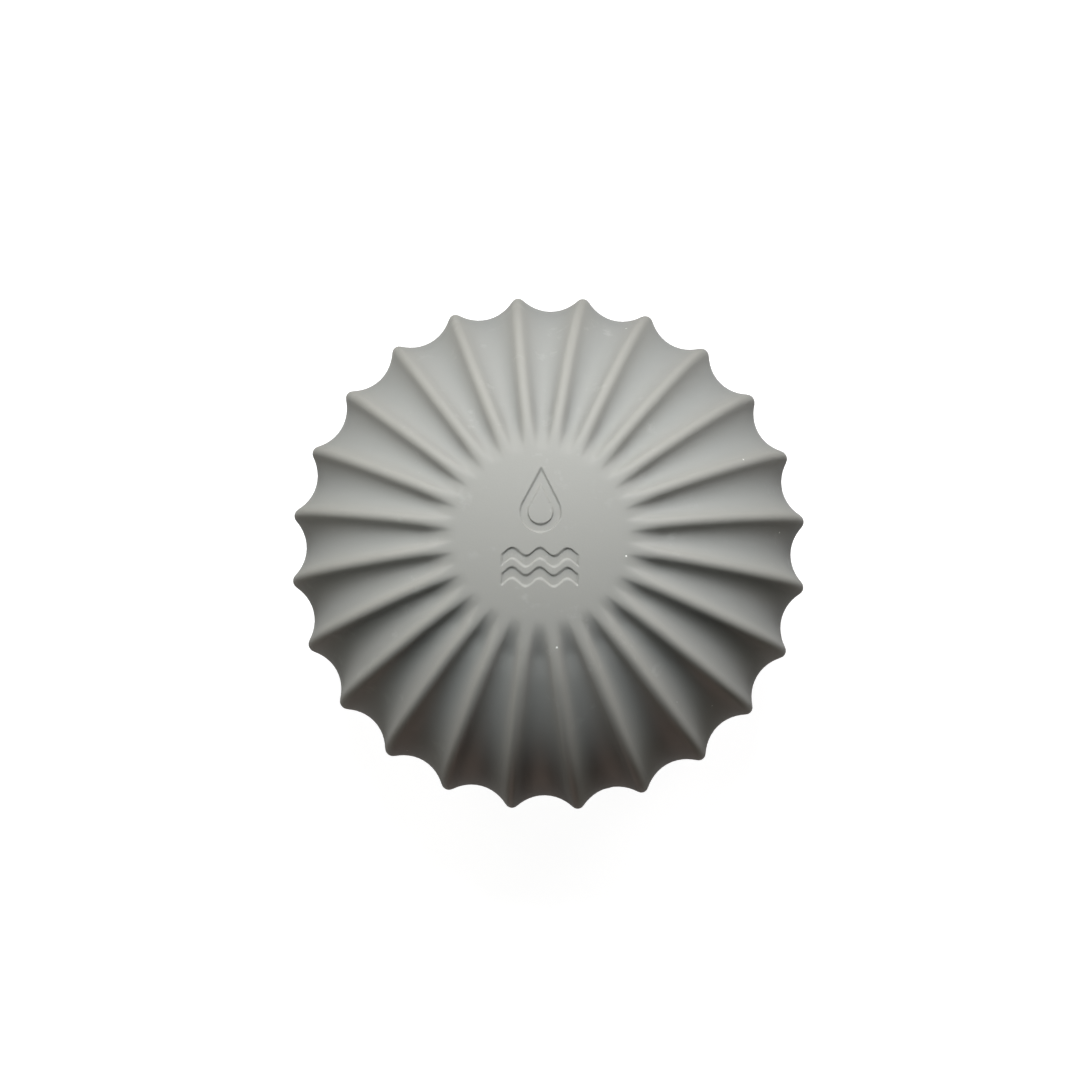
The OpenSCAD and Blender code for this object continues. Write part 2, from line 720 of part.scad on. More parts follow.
suction_cup(0);  // suction_cup_1
suction_cup(1);  // suction_cup_2
suction_cup(2);  // suction_cup_3
suction_cup(3);  // suction_cup_4
base_plate();
base_screws();
base_o_ring();
base_shell();
base_boot();
battery_cell(-1);  // battery_cell_1
battery_cell(1);  // battery_cell_2
battery_tabs();
battery_cradle();
main_board();
board_chips();
control_board();
button_switch();
status_lights();
control_bezel();
power_button();
charge_board();
charge_socket();
port_plug();
motor_can();
motor_end_cap();
motor_magnets();
motor_armature();
motor_shaft();
sun_gear();
motor_plate();
motor_screws();
plate_screws();
ring_gear();
planet_gear(0);  // planet_gear_1
planet_gear(1);  // planet_gear_2
planet_gear(2);  // planet_gear_3
planet_pins();
planet_carrier();
output_shaft();
lower_bearing();
upper_bearing();
shaft_seal();
tower_cap();
tower_o_ring();
tower_screws();
agitator_core();
hub_washer();
hub_screw();
agitator_skin();
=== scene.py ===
# %% [markdown]
# # A cordless mini washer: a fluted silicone ball
# The machine stands in a basin on four suction cups. Its upper half, the agitator, turns and stirs
# the water. The sealed lower half holds the motor and the battery. Both halves wear a soft silicone
# skin with matching ribs.
#
# The CAD model is the frame: it fixes every size and every axis. In this lesson the plain CAD skins
# are replaced by finer ones, the small visible pieces get soft edges, and every piece gets a finish.

# %% Load the CAD frame
import json
import math

import bmesh
import bpy
from mathutils import Matrix, Vector


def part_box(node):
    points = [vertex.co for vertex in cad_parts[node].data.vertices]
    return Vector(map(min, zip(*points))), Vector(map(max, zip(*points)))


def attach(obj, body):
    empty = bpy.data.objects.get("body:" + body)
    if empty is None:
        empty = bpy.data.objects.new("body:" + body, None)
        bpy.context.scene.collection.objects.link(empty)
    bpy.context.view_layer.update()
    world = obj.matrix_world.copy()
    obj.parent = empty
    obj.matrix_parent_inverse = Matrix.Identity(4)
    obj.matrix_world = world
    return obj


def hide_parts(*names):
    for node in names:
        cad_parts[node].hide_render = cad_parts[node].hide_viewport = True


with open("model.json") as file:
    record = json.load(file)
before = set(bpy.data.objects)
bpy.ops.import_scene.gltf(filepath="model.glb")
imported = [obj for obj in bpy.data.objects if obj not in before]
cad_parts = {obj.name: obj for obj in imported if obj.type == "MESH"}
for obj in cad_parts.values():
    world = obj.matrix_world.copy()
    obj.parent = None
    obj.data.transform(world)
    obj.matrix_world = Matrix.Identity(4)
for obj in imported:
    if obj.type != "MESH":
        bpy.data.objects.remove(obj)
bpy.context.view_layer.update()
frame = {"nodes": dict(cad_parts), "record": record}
NODES = frame["nodes"]
MM = 0.001

# %% [markdown]
# ## The ball's shape as a formula
# A moulder would describe this ball with one smooth profile and one rib section. So do we. The crest
# line is a flattened half ellipse above the widest point and a longer one below it. The section between
# two crests is two arcs that meet smoothly: a wide hollow one, and a small round one that keeps the same
# radius from rim to pad. Lengths in this script are in millimetres, and MM turns them into metres.

# %% Driving dimensions
skirt_low, skin_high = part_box("agitator_skin")
boot_low, boot_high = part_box("base_boot")

RIBS = 24
PITCH = 2 * math.pi / RIBS
BALL_R = skin_high.x / MM / math.cos(PITCH / 2)
EQUATOR_Z = 46.0  # height of the widest point
CROWN_H, KEEL_H = 51.0, 64.0  # half heights of the upper and the lower ellipse
PAD_R = 19.0  # the ribs fade out towards this radius
PAD_RISE, DOME_R = 2.4, 22.0  # the pad's dome rises this much from this radius to the pole
PAD_TOP_Z = skin_high.z / MM
SKIRT_Z = skirt_low.z / MM
BOOT_BOTTOM_Z, BOOT_TOP_Z = boot_low.z / MM, boot_high.z / MM
CORE_R, CORE_CROWN, CORE_TOP_Z = BALL_R - 6.0, CROWN_H - 3.9, 89.2  # the rigid core under the skin
SHELL_R = BALL_R - 5.6  # the rigid shell under the boot
print(f"ball radius {BALL_R:.2f} mm, pole at {PAD_TOP_Z:.2f} mm")
print(f"seam between {BOOT_TOP_Z:.1f} and {SKIRT_Z:.1f} mm")

# %% Profile
PAD_BLEND = 0.35  # how softly the pad rolls into the crest line
FAR_APART = 4.0  # past this height difference the blend has no effect


def ramp(x, start, end):
    """Smooth step from 0 at start to 1 at end."""
    t = min(1.0, max(0.0, (x - start) / (end - start)))
    return t * t * (3 - 2 * t)


def crest_z(r):
    """Height of the crest line above the widest point."""
    return EQUATOR_Z + CROWN_H * math.sqrt(max(0.0, 1 - (r / BALL_R) ** 2))


def side_r(widest, z):
    """Radius below the widest point, for the skin or for what lies under it."""
    return widest * math.sqrt(1 - ((EQUATOR_Z - z) / KEEL_H) ** 2)


def crown_z(r):
    """Height of the crown: the pad's shallow dome, rolled softly into the crest ellipse."""
    pad, crest = PAD_TOP_Z - PAD_RISE * (r / DOME_R) ** 2, crest_z(r)
    if crest - pad > FAR_APART:
        return pad
    if pad - crest > FAR_APART:
        return crest
    return pad - PAD_BLEND * math.log(1 + math.exp((pad - crest) / PAD_BLEND))


print("crown height at the pole, pad edge and rim:", [round(crown_z(r), 2) for r in (0, PAD_R, BALL_R)])

# %% Rib section
CREST_R = 1.7
RIB_DEPTH = 3.5


def depth_at(r):
    """Depth of a valley below its crests, full at the rim and less towards the pad."""
    return RIB_DEPTH * math.sqrt(max(r, 1.0) / BALL_R)


def rib_sink(u, r):
    """Sink below the crest line at radius r, from 0 on a crest at u = 0.5 to 1 in the valley at u = 0."""
    half, depth = r * PITCH / 2, depth_at(r)
    # Two arcs that meet smoothly between valley and crest have radii that add up to this.
    both = (half**2 + depth**2) / (2 * depth)
    crest = min(CREST_R, both / 2)
    hollow, x = both - crest, abs(u) * 2 * half
    if x < half * hollow / both:
        rise = hollow - math.sqrt(hollow**2 - x * x)
    else:
        rise = depth - crest + math.sqrt(max(0.0, crest**2 - (half - x) ** 2))
    return 1 - rise / depth


for section_r in (BALL_R, BALL_R / 2):
    section = [round(rib_sink(i / 10, section_r), 2) for i in range(6)]
    print(f"section at {section_r:.0f} mm, valley to crest:", section)

# %% [markdown]
# ## Camera
# The machine is looked at from almost straight above its pole, a few degrees towards the controls. A
# portrait lens from 0.6 m shows nearly the whole upper half, where a wide lens from close by would cut
# off the rim.

# %% Camera
CAMERA_DISTANCE = 0.60  # metres
LENS = 85.4
TILT_FRONT, TILT_RIGHT, ROLL = math.radians(4.3), math.radians(2.1), math.radians(0.6)
AIM_SHIFT = Vector((-0.00198, 0.00302, 0))  # the aim lies this far beside the ball's centre
ball_centre = Vector((0, 0, EQUATOR_Z * MM))
camera_data = bpy.data.cameras.new("camera")
camera_data.lens = LENS
camera = bpy.data.objects.new("camera", camera_data)
bpy.context.scene.collection.objects.link(camera)
stand = Vector((math.sin(TILT_RIGHT), -math.sin(TILT_FRONT), 1)).normalized() * CAMERA_DISTANCE
camera.location = ball_centre + stand
back = (camera.location - ball_centre - AIM_SHIFT).normalized()
right = Vector((math.cos(ROLL), math.sin(ROLL), 0))
right = (right - back * right.dot(back)).normalized()
camera.rotation_euler = Matrix((right, back.cross(right), back)).transposed().to_euler()
bpy.context.scene.camera = camera
bpy.context.scene.view_settings.view_transform = "Standard"
print("camera at", [round(v, 3) for v in camera.location])

# %% [markdown]
# ## Shader helpers
# A material is a small network. `Wire` wraps one output socket and lets Python's own operators add
# Math nodes, so a mask reads as `1 - noise * 2`. `Finish` holds one material and makes its other nodes:
# `node` serves any kind, and only the Mix node, whose sockets share their names, has its own method.

# %% Wire


def plug(tree, socket, value):
    """Feeds a socket with another node's output, or sets it to a constant."""
    if isinstance(value, Wire):
        tree.links.new(value.socket, socket)
    elif isinstance(value, (tuple, list)) and socket.type == "RGBA":
        socket.default_value = (*value, 1.0)[:4]
    else:
        socket.default_value = value


class Wire:
    """One output of a shader node."""

    def __init__(self, tree, socket):
        self.tree, self.socket = tree, socket

    def maths(self, operation, *terms):
        """A Math node that works on Wires and numbers."""
        node = self.tree.nodes.new("ShaderNodeMath")
        node.operation = operation
        for socket, term in zip(node.inputs, terms):
            plug(self.tree, socket, term)
        return Wire(self.tree, node.outputs[0])

    def __add__(self, other):
        return self.maths("ADD", self, other)

    def __radd__(self, other):
        return self.maths("ADD", other, self)

    def __sub__(self, other):
        return self.maths("SUBTRACT", self, other)

    def __rsub__(self, other):
        return self.maths("SUBTRACT", other, self)

    def __mul__(self, other):
        return self.maths("MULTIPLY", self, other)

    def __rmul__(self, other):
        return self.maths("MULTIPLY", other, self)

    def __gt__(self, other):
        return self.maths("GREATER_THAN", self, other)

    def __lt__(self, other):
        return self.maths("LESS_THAN", self, other)


print("operators on a Wire: + - * > <")

# %% Finish of a material
MIX_INPUTS, MIX_OUTPUT = (0, 6, 7), 2  # the Mix node's factor and colours, and its colour output


class Finish:
    """A Principled material that is built node by node."""

    def __init__(self, name, **constants):
        self.material = bpy.data.materials.new(name)
        self.material.use_nodes = True
        self.tree = self.material.node_tree
        self.shader = self.tree.nodes["Principled BSDF"]
        self.place = self.node("ShaderNodeTexCoord", output="Object")
        for socket, value in constants.items():
            plug(self.tree, self.shader.inputs[socket.replace("_", " ")], value)

    def node(self, kind, settings=None, inputs=None, output=0):
        """Any shader node: its settings first, then values or Wires for its sockets."""
        node = self.tree.nodes.new(kind)
        for key, value in (settings or {}).items():
            setattr(node, key, value)
        for key, value in (inputs or {}).items():
            plug(self.tree, node.inputs[key], value)
        return Wire(self.tree, node.outputs[output])

    def noise(self, scale, detail=2.0, roughness=0.5):
        """Cloudy noise, about 0.5 on average."""
        inputs = {"Vector": self.place, "Scale": scale, "Detail": detail, "Roughness": roughness}
        return self.node("ShaderNodeTexNoise", inputs=inputs)

    def cells(self, scale, output="Distance"):
        """Scattered cells: the distance from a cell's middle, or its random colour."""
        inputs = {"Vector": self.place, "Scale": scale}
        return self.node("ShaderNodeTexVoronoi", inputs=inputs, output=output)

    def span(self, value, low, high):
        """Value spread from low..high to 0..1."""
        inputs = {"Value": value, "From Min": low, "From Max": high}
        return self.node("ShaderNodeMapRange", {"clamp": True}, inputs)

    def mix(self, amount, first, second):
        """From the first colour to the second."""
        node = self.tree.nodes.new("ShaderNodeMix")
        node.data_type = "RGBA"
        for index, value in zip(MIX_INPUTS, (amount, first, second)):
            plug(self.tree, node.inputs[index], value)
        return Wire(self.tree, node.outputs[MIX_OUTPUT])

    def bump(self, height, distance, strength):
        """Fine relief, without moving the surface; the distance is in metres."""
        inputs = {"Height": height, "Distance": distance, "Strength": strength}
        self.set("Normal", self.node("ShaderNodeBump", inputs=inputs))

    def set(self, socket, value):
        """Feeds one socket of the shader."""
        plug(self.tree, self.shader.inputs[socket], value)


def dress(obj, finish):
    """Gives a whole piece one finish."""
    obj.data.materials.clear()
    obj.data.materials.append(finish.material)


print("a Finish starts from the Principled shader and Object coordinates")

# %% [markdown]
# ## Matte silicone
# Moulded silicone is matte and slightly dusty. Its colour is one warm grey, and over it the crests get a
# painted highlight, a little lighter and warmer, and the valleys a painted shade, a little cooler; a broad
# cloudiness comes from handling, and tiny specks of lint stick to it. The rib height arrives as the mesh
# attribute `crest` and sets how much painted highlight or painted shade a point gets.
# Noise and cell scales are counts to the metre, so 2600 is a grain of about 0.4 mm.

# %% Silicone finish
# Painted highlight grey for the crests, and painted shade grey for the valleys.
CREST_PAINTED_HIGHLIGHT, VALLEY_PAINTED_SHADE = (0.256, 0.250, 0.235), (0.238, 0.239, 0.234)
SCUFFED, LINT_WHITE = (0.75, 0.75, 0.73), (0.85, 0.85, 0.83)
LINT_CELLS, LINT_ABOVE = 260, 0.80  # cells to the metre; those with a paler random shade carry lint
LINT_R = 0.055  # radius of a speck, as a part of a cell


def silicone(name, lint):
    """The grey silicone of the two skins: painted highlight on the crests, painted shade in the valleys, and
    more or less lint on it.
    """
    skin = Finish(name, Specular_IOR_Level=0.35, Sheen_Weight=0.06, Sheen_Roughness=0.5)
    crest = skin.node("ShaderNodeAttribute", {"attribute_name": "crest"}, output="Fac")
    clouds = skin.noise(38, detail=3)
    # Painted light: the rib height lightens the crests as a painted highlight and darkens the valleys as
    # painted shade; the clouds add random tone.
    tone = skin.span(crest + (clouds - 0.5) * 0.5, 0.0, 1.0)
    colour = skin.mix(tone, VALLEY_PAINTED_SHADE, CREST_PAINTED_HIGHLIGHT)
    scuffs = skin.span(skin.noise(160, detail=4, roughness=0.65), 0.60, 0.72) * skin.span(clouds, 0.45, 0.6)
    colour = skin.mix(scuffs * 0.10, colour, SCUFFED)
    chosen = skin.cells(LINT_CELLS, "Color") > LINT_ABOVE
    specks = chosen * (skin.cells(LINT_CELLS) < LINT_R) * lint
    colour = skin.mix(specks * 0.8, colour, LINT_WHITE)
    skin.set("Base Color", colour)
    skin.set("Roughness", skin.span(clouds, 0.3, 0.7) * 0.08 + 0.56 + scuffs * 0.06)
    grain = skin.noise(2600, detail=2)
    skin.bump(grain * 0.7 + skin.noise(420, detail=3) * 0.6 + specks * 2.0, 0.00004, 0.55)
    return skin


SKIN = silicone("silicone_skin", lint=1.0)
BOOT = silicone("silicone_boot", lint=0.7)
print("silicone finishes:", SKIN.material.name, BOOT.material.name)

# %% [markdown]
# ## Spinning a soft skin
# Both skins start as a profile that is spun once round the axis. The spin gives even columns, but a
# crest is much tighter than a valley, so the columns are first drawn together at the crests. Then each
# outer point is pushed in along the surface's own slope by the rib section. Points on the inner wall
# stay where the rigid core holds them.

# %% Spinning
COLUMNS_PER_RIB = 18
SEAM_GAP = 2e-7  # metres; points closer than this are one, as at the pole and the seam


def piece_from(bm, name):
    """A smooth-shaded object from a finished bmesh."""
    mesh = bpy.data.meshes.new(name)
    bm.to_mesh(mesh)
    bm.free()
    obj = bpy.data.objects.new(name, mesh)
    bpy.context.scene.collection.objects.link(obj)
    mesh.shade_smooth()
    return obj


def spun(profile, steps, closed):
    """A bmesh spun from (radius, height) points, either a ring or a line that ends on the axis."""
    bm = bmesh.new()
    verts = [bm.verts.new((r * MM, 0, z * MM)) for r, z in profile]
    pairs = list(zip(verts, verts[1:] + verts[:1] if closed else verts[1:]))
    edges = [bm.edges.new(pair) for pair in pairs]
    bmesh.ops.spin(bm, geom=verts + edges, cent=(0, 0, 0), axis=(0, 0, 1), dvec=(0, 0, 0),
                   angle=2 * math.pi, steps=steps, use_merge=True, use_duplicate=False)
    bmesh.ops.remove_doubles(bm, verts=bm.verts, dist=SEAM_GAP)
    bmesh.ops.recalc_face_normals(bm, faces=bm.faces)
    return bm


print("columns round each skin:", RIBS * COLUMNS_PER_RIB)

# %% Fluting
GATHER, GATHER_FROM, GATHER_FULL = 0.58, 12, 26  # how strongly the columns gather, and between which radii
RELIEF_R = 18  # the sunk mark lies inside this radius
LAND_SINK = 1.6  # how far the smooth lands lie below the crest line
SECTION_R = 5.0  # nearer the axis than this, the rib section keeps its width
# The stored rib height sets the painted highlight and painted shade of the skin: its value on the pad, and
# how much more painted shade the smooth lands get.
PAD_PAINTED_LIGHT, LAND_PAINTED_SHADE = 0.6, 0.5  # rib height stored on the pad, and how much less on the lands


def flute(bm, outer, slope, depth, land=None, relief=None):
    """Sinks the outer points of a spun skin between its crests, and stores the rib height."""
    crest = bm.verts.layers.float.new("crest")
    for v in bm.verts:
        r, z = math.hypot(v.co.x, v.co.y) / MM, v.co.z / MM
        amount = depth(r, z)
        angle = math.atan2(v.co.y, v.co.x)
        u = (angle / PITCH + 0.5) % 1.0 - 0.5
        gather = GATHER * ramp(r, GATHER_FROM, GATHER_FULL)
        u_new = u + gather * math.sin(2 * math.pi * u) / (2 * math.pi)
        angle += (u_new - u) * PITCH
        flat = land(angle) if land else 0.0
        hollow = rib_sink(u_new, max(r, SECTION_R)) * (1 - flat)
        sink = amount * hollow + min(LAND_SINK, amount) * flat
        share = min(1.0, amount / RIB_DEPTH)
        # The stored rib height later paints a highlight on the crests and paints shade in the valleys and on
        # the lands.
        v[crest] = PAD_PAINTED_LIGHT + (1 - PAD_PAINTED_LIGHT - hollow - LAND_PAINTED_SHADE * flat) * share
        if outer(r, z):
            out_r, out_z = slope(r, z)
            drop = relief(v.co.x / MM, v.co.y / MM) if relief and r < RELIEF_R else 0.0
            r, z = r - sink * out_r, z - sink * out_z - drop
        v.co = Vector((r * math.cos(angle), r * math.sin(angle), z)) * MM


print(f"columns gather by {GATHER:.0%} towards the crests")

# %% [markdown]
# ## The agitator skin
# The real skin is moulded over a rigid core. Its pad carries a small sunk mark; here it is a drop over
# two waves, a plain sign for water. The mark is part of the surface, so its edges catch the light as a
# moulded edge does. It is drawn by its distance from a few simple strokes, and the pad's rings lie close
# enough together to carry it.

# %% The mark
MARK_DEPTH, MARK_EDGE = 0.45, 0.28
DROP_R, DROP_TIP, DROP_Y, DROP_STROKE = 4.4, 9.6, 5.2, 1.7
WAVE_SWING, WAVE_LENGTH, WAVE_HALF, WAVE_REACH = 0.85, 6.0, 0.95, 8.2
WAVE_SLOPE = 0.82  # turns height above a wave into distance from it
WAVE_LEVELS = (-4.6, -8.8)


def drop_distance(x, y):
    """Signed distance from the outline of a drop, negative inside."""
    y -= DROP_Y
    if y < DROP_R**2 / DROP_TIP:
        return math.hypot(x, y) - DROP_R
    slope = math.asin(DROP_R / DROP_TIP)
    return abs(x) * math.cos(slope) - (DROP_TIP - y) * math.sin(slope)


def wave_distance(x, y, level):
    """Distance from a wave's band, negative inside."""
    swing = level + WAVE_SWING * math.cos(2 * math.pi * x / WAVE_LENGTH)
    return max(abs(y - swing) * WAVE_SLOPE - WAVE_HALF, abs(x) - WAVE_REACH)


def mark_relief(x, y):
    """How deep the mark is sunk at a point of the pad."""
    drop = drop_distance(x, y)
    ring = max(drop, -drop - DROP_STROKE)
    stroke = min(ring, *(wave_distance(x, y, level) for level in WAVE_LEVELS))
    return MARK_DEPTH * (1 - ramp(stroke, -MARK_EDGE / 2, MARK_EDGE / 2))


stroke_y = DROP_Y - DROP_R + DROP_STROKE / 2
print("mark depth in the drop's stroke and in its middle:", mark_relief(0, stroke_y), mark_relief(0, DROP_Y))

# %% Profile of the skin
EDGE = 0.6  # rounding of the lower edge
LIP_R, LIP_TOP_Z = side_r(CORE_R - 2.7, SKIRT_Z + 1.2), SKIRT_Z + 1.2  # the lip that wraps the core
PAD_STEP, RIDGE_STEP, SWEEP_STEP, SIDE_STEP = 0.23, 0.55, 1.45, 1.5  # spacing of the rings
FINE_R, RIDGE_R = 15.6, 31  # the rings are finest to the first radius and fine to the second
INNER_STEP, INNER_TURN = 4, 0.16  # the inner wall is seldom seen, so its rings are coarse
EDGE_TURN = math.radians(25)


def spaced(start, end, spacing):
    """Values from start up to, but without, end."""
    count = max(1, round(abs(end - start) / spacing))
    return [start + (end - start) * i / count for i in range(count)]


crown = [(r, crown_z(r)) for r in spaced(0, FINE_R, PAD_STEP) + spaced(FINE_R, RIDGE_R, RIDGE_STEP)]
sweep = spaced(math.asin(RIDGE_R / BALL_R), math.pi / 2, SWEEP_STEP / BALL_R)
crown += [(BALL_R * math.sin(a), EQUATOR_Z + CROWN_H * math.cos(a)) for a in sweep]
crown += [(side_r(BALL_R, z), z) for z in spaced(EQUATOR_Z, SKIRT_Z + EDGE, SIDE_STEP)]
edge_r = side_r(BALL_R, SKIRT_Z + EDGE) - EDGE
crown += [(edge_r + EDGE * math.cos(a), SKIRT_Z + EDGE - EDGE * math.sin(a))
          for a in spaced(0, math.pi / 2, EDGE_TURN) + [math.pi / 2]]
inner = [(LIP_R, SKIRT_Z), (LIP_R, LIP_TOP_Z)]
inner += [(side_r(CORE_R, z), z) for z in spaced(LIP_TOP_Z, EQUATOR_Z, INNER_STEP)]
last = math.acos((CORE_TOP_Z - EQUATOR_Z) / CORE_CROWN)
inner += [(CORE_R * math.sin(a), EQUATOR_Z + CORE_CROWN * math.cos(a))
          for a in spaced(math.pi / 2, last, INNER_TURN)]
inner += [(CORE_R * math.sin(last), CORE_TOP_Z), (0, CORE_TOP_Z)]
print(len(crown), "points outside and", len(inner), "inside")

# %% Agitator skin
SURELY_OUTER_R, SURELY_OUTER_Z = 56, 90.5  # past these, a point can't be on the inner wall
RIBS_FROM_R, RIBS_FULL_R = PAD_R - 1, PAD_R + 9


def on_crown(r, z):
    """True for a point of the outer surface, False for one of the inner wall."""
    if r > SURELY_OUTER_R or z > SURELY_OUTER_Z:
        return True
    core = (r / (CORE_R + 1)) ** 2 + ((z - EQUATOR_Z) / (CORE_CROWN + 1)) ** 2
    return z > EQUATOR_Z and core > 1


def crown_slope(r, z):
    """Direction straight out of the surface, as its part along the radius and its part upwards."""
    if z <= EQUATOR_Z:
        return 1.0, 0.0
    out = Vector((r / BALL_R**2, (z - EQUATOR_Z) / CROWN_H**2)).normalized()
    return out.x, out.y


def crown_depth(r, z):
    """The ribs fade in round the pad and are full below the widest point."""
    return depth_at(r) * (ramp(r, RIBS_FROM_R, RIBS_FULL_R) if z > EQUATOR_Z else 1)


skin_bm = spun(crown + inner, RIBS * COLUMNS_PER_RIB, closed=False)
flute(skin_bm, on_crown, crown_slope, crown_depth, relief=mark_relief)
agitator = piece_from(skin_bm, "fluted_skin")
dress(agitator, SKIN)
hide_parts("agitator_skin")
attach(agitator, "agitator")
print("fluted_skin:", len(agitator.data.polygons), "faces")

# %% [markdown]
# ## The boot
# The lower half wears a sleeve of the same silicone. Its ribs line up with the agitator's at rest, fade
# out at the bottom edge, and flatten into smooth lands round the control panel and the charging port.
# Two windows are cut through it with a boolean, the quickest clean way to open a moulded wall, and a
# small bevel softens their edges.

# %% Lands on the boot
FRONT, REAR = -math.pi / 2, math.pi / 2
FRONT_LAND, REAR_LAND = (15.5, 21.5), (11, 17)  # degrees from the middle, flat and then ribbed again


def turn_between(a, b):
    """Smallest angle from one direction to another."""
    return abs((a - b + math.pi) % (2 * math.pi) - math.pi)


def land(angle):
    """1 on the smooth lands at the front and the rear, 0 on the ribs."""
    front = 1 - ramp(math.degrees(turn_between(angle, FRONT)), *FRONT_LAND)
    rear = 1 - ramp(math.degrees(turn_between(angle, REAR)), *REAR_LAND)
    return max(front, rear)


print("land at the front, rear and side:", land(FRONT), land(REAR), land(0.0))

# %% Boot
INTO_WALL = 2.2  # a point this far into the boot's wall belongs to its outer surface
RIM, FOOT = 0.6, 1.0  # rounding of the upper and the lower edge
FOOT_TURN = math.radians(22)
WALL_IN_STEP, WALL_OUT_STEP = 3, 0.8  # spacing of the rings
RIBS_FROM_Z, RIBS_FULL_Z = BOOT_BOTTOM_Z + 1, BOOT_BOTTOM_Z + 9


def on_boot(r, z):
    """True for a point of the boot's outer surface."""
    return r > side_r(SHELL_R, z) + INTO_WALL


def boot_depth(r, z):
    """The ribs fade in over the lowest few millimetres."""
    return depth_at(r) * ramp(z, RIBS_FROM_Z, RIBS_FULL_Z)


def straight_in(r, z):
    """The boot's ribs sink level, so that its lower edge stays flat."""
    return 1.0, 0.0


rim_r = side_r(BALL_R, BOOT_TOP_Z - RIM) - RIM
foot_r = side_r(BALL_R, BOOT_BOTTOM_Z + FOOT) - FOOT
boot_profile = [(side_r(SHELL_R, z), z)
                for z in spaced(BOOT_BOTTOM_Z, BOOT_TOP_Z, WALL_IN_STEP) + [BOOT_TOP_Z]]
boot_profile += [(rim_r + RIM * math.sin(a), BOOT_TOP_Z - RIM + RIM * math.cos(a))
                 for a in spaced(0, math.pi / 2, EDGE_TURN)]
boot_profile += [(side_r(BALL_R, z), z)
                 for z in spaced(BOOT_TOP_Z - RIM, BOOT_BOTTOM_Z + FOOT, WALL_OUT_STEP)]
boot_profile += [(foot_r + FOOT * math.cos(a), BOOT_BOTTOM_Z + FOOT - FOOT * math.sin(a))
                 for a in spaced(0, math.pi / 2, FOOT_TURN) + [math.pi / 2]]
boot_bm = spun(boot_profile, RIBS * COLUMNS_PER_RIB, closed=True)
flute(boot_bm, on_boot, straight_in, boot_depth, land)
boot = piece_from(boot_bm, "fluted_boot")
print("fluted_boot:", len(boot.data.polygons), "faces before its windows are cut")

# %% Tools for the windows


def window_bar(z, width, height, corner, y_from, y_to):
    """Rounded bar along Y, at height z on the middle plane, that a window is cut with."""
    bm = bmesh.new()
    bmesh.ops.create_cube(bm, size=1)
    bmesh.ops.scale(bm, vec=(width * MM, (y_to - y_from) * MM, height * MM), verts=bm.verts)
    bmesh.ops.translate(bm, vec=(0, (y_from + y_to) / 2 * MM, z * MM), verts=bm.verts)
    along = [e for e in bm.edges if abs(e.verts[0].co.y - e.verts[1].co.y) > MM]
    bmesh.ops.bevel(bm, geom=along, offset=corner * MM, segments=8, profile=0.5, affect="EDGES",
                    material=-1)
    return piece_from(bm, "cutter")


def cut(obj, cutter):
    """Cuts one closed piece out of another and keeps the result as plain mesh."""
    modifier = obj.modifiers.new("cut", "BOOLEAN")
    modifier.operation, modifier.solver, modifier.object = "DIFFERENCE", "EXACT", cutter
    graph = bpy.context.evaluated_depsgraph_get()
    mesh = bpy.data.meshes.new_from_object(obj.evaluated_get(graph), depsgraph=graph)
    obj.modifiers.remove(modifier)
    obj.data = mesh
    bpy.data.objects.remove(cutter)


def soften(obj, width, limit=40):
    """Small rounded edges where two faces meet at more than the limit, in degrees."""
    obj.data.set_sharp_from_angle(angle=math.radians(limit))
    bevel = obj.modifiers.new("soft edges", "BEVEL")
    bevel.width, bevel.segments, bevel.profile = width * MM, 3, 0.5
    bevel.limit_method, bevel.angle_limit = "ANGLE", math.radians(limit)


print("tools: window_bar, cut, soften")

# %% Windows in the boot
PANEL_Z, PORT_Z = 22.0, 23.0
PANEL_WINDOW, PORT_WINDOW = (26.0, 14.8, 4.2), (16.0, 9.0, 3.2)  # width, height, corner radius
WALL_NEAR, WALL_FAR = 30, 70  # distances from the axis with the whole wall between them

cut(boot, window_bar(PANEL_Z, *PANEL_WINDOW, -WALL_FAR, -WALL_NEAR))
cut(boot, window_bar(PORT_Z, *PORT_WINDOW, WALL_NEAR, WALL_FAR))
soften(boot, width=0.35, limit=50)
dress(boot, BOOT)
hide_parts("base_boot")
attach(boot, "base")
print("fluted_boot:", len(boot.data.polygons), "faces, with two windows")

# %% [markdown]
# ## Small pieces at the windows
# The bezel, the button, the light pipes and the port's plug already have their true shape in the frame.
# A moulded piece is never razor sharp, though, so each gets a finer twin: a copy of its mesh with the
# loose triangles merged and a small bevel on its edges. The twin rides on the same body and stands in
# for the node.

# %% Twins with soft edges
SAME_POINT = 1e-6  # metres; the CAD's loose triangles meet within this
FLAT = math.radians(1)  # triangles that differ by less than this become one face


def twin(node, body, width):
    """A copy of a CAD node with soft edges of the given width."""
    obj = NODES[node].copy()
    obj.data = NODES[node].data.copy()
    for key in [key for key in obj.keys() if key.startswith("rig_")]:
        del obj[key]
    obj.parent = None
    obj.name = node + "_soft"
    bpy.context.scene.collection.objects.link(obj)
    bm = bmesh.new()
    bm.from_mesh(obj.data)
    bmesh.ops.remove_doubles(bm, verts=bm.verts, dist=SAME_POINT)
    bmesh.ops.dissolve_limit(bm, angle_limit=FLAT, verts=bm.verts, edges=bm.edges)
    bm.to_mesh(obj.data)
    bm.free()
    obj.data.shade_smooth()
    soften(obj, width)
    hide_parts(node)
    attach(obj, body)
    return obj


bezel = twin("control_bezel", "base", width=0.30)
button = twin("power_button", "button", width=0.30)
port_plug = twin("port_plug", "plug", width=0.35)
lights = twin("status_lights", "base", width=0.12)
print("twins:", [piece.name for piece in (bezel, button, port_plug, lights)])

